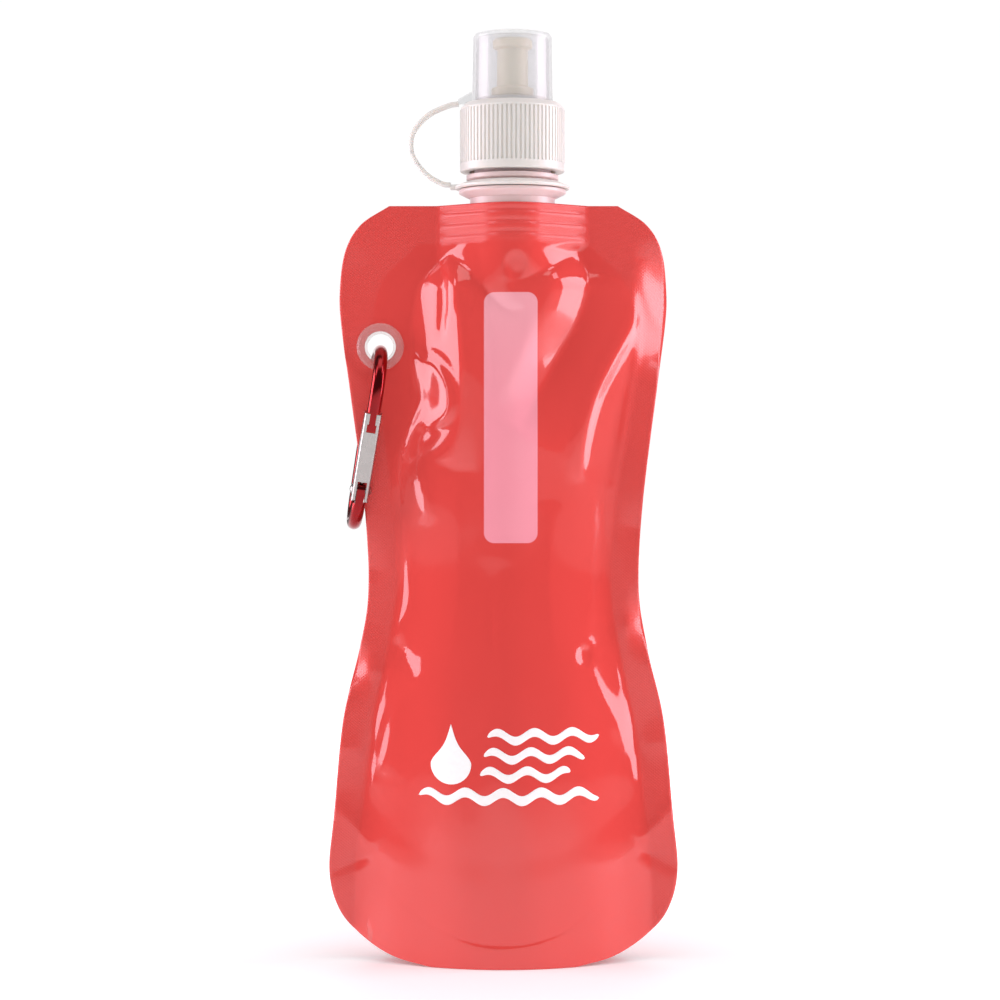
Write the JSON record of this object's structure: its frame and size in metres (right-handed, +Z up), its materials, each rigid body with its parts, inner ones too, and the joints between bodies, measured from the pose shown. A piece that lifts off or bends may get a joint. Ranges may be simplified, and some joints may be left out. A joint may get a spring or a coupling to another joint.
{
  "type": "folding water bottle",
  "caption": "Soft film drinking pouch that stands on a bottom gusset and folds at the waist, with a screw cap, push-pull nozzle, tethered dust cap and snap hook.",
  "frame": {"origin": "on the floor under the middle of the pouch", "axes": "+Z up, the front panel faces -Y, the side seams lie along X"},
  "size_m": [0.0974, 0.0382, 0.259],
  "materials": {
    "film_red": "glossy translucent laminated film",
    "window_pink": "frosted clear film over the red",
    "print_white": "screen print",
    "spout_natural": "satin natural polyethylene",
    "cap_white": "satin milky polypropylene",
    "liner_white": "foamed sealing ring",
    "nozzle_cream": "soft cream polyethylene",
    "clear_plastic": "clear glossy plastic",
    "red_anodised": "glossy red anodising",
    "bare_aluminium": "tumbled bright",
    "spring_steel": "bright wire"
  },
  "bodies": {
    "pouch_lower": {"front_film_lower": "film_red", "back_film_lower": "film_red", "bottom_gusset": "film_red"},
    "pouch_upper": {"front_film_upper": "film_red", "back_film_upper": "film_red", "spout": "spout_natural", "eyelet_front": "clear_plastic", "eyelet_back": "clear_plastic"},
    "tether_ring": {"tether_ring": "cap_white", "tether_strap": "cap_white"},
    "screw_cap": {"screw_cap": "cap_white", "cap_liner": "liner_white"},
    "nozzle": {"nozzle": "nozzle_cream"},
    "dust_cap": {"dust_cap": "clear_plastic"},
    "hook": {"hook_frame": "red_anodised", "hook_rivet": "bare_aluminium"},
    "hook_gate": {"hook_gate": "bare_aluminium", "gate_spring": "spring_steel", "spring_plunger": "spring_steel"}
  },
  "joints": [
    {"name": "pouch_fold", "type": "hinge", "parent": "pouch_lower", "child": "pouch_upper", "pos_m": [0, 0.0126, 0.103], "axis": [-1, 0, 0], "range_deg": [0, 165]},
    {"name": "cap_turn", "type": "hinge", "parent": "pouch_upper", "child": "tether_ring", "pos_m": [0.0025, 0, 0.2165], "axis": [0, 0, 1], "range_deg": [0, 720]},
    {"name": "cap_lift", "type": "slide", "parent": "tether_ring", "child": "screw_cap", "axis": [0, 0, 1], "range_m": [0, 0.008], "deforming": ["tether_strap"]},
    {"name": "nozzle_pull", "type": "slide", "parent": "screw_cap", "child": "nozzle", "axis": [0, 0, 1], "range_m": [0, 0.0045], "deforming": ["tether_strap"]},
    {"name": "dust_cap_lift", "type": "slide", "parent": "nozzle", "child": "dust_cap", "axis": [0, 0, 1], "range_m": [0, 0.02], "deforming": ["tether_strap"]},
    {"name": "hook_swing", "type": "hinge", "parent": "pouch_upper", "child": "hook", "pos_m": [-0.0345, 0, 0.17015], "axis": [0, 1, 0], "range_deg": [0, 130]},
    {"name": "gate_open", "type": "hinge", "parent": "hook", "child": "hook_gate", "pos_m": [-0.03975, -0.00464, 0.13147], "axis": [-0.9827, -0.1132, 0.1469], "range_deg": [0, 16], "stiffness_Nm_per_rad": 0.002, "springref_deg": -28.65, "deforming": ["gate_spring"]}
  ],
  "couplings": [
    {"joint": "cap_turn", "follows": "cap_lift", "rad_per_m": 1570.8}
  ]
}
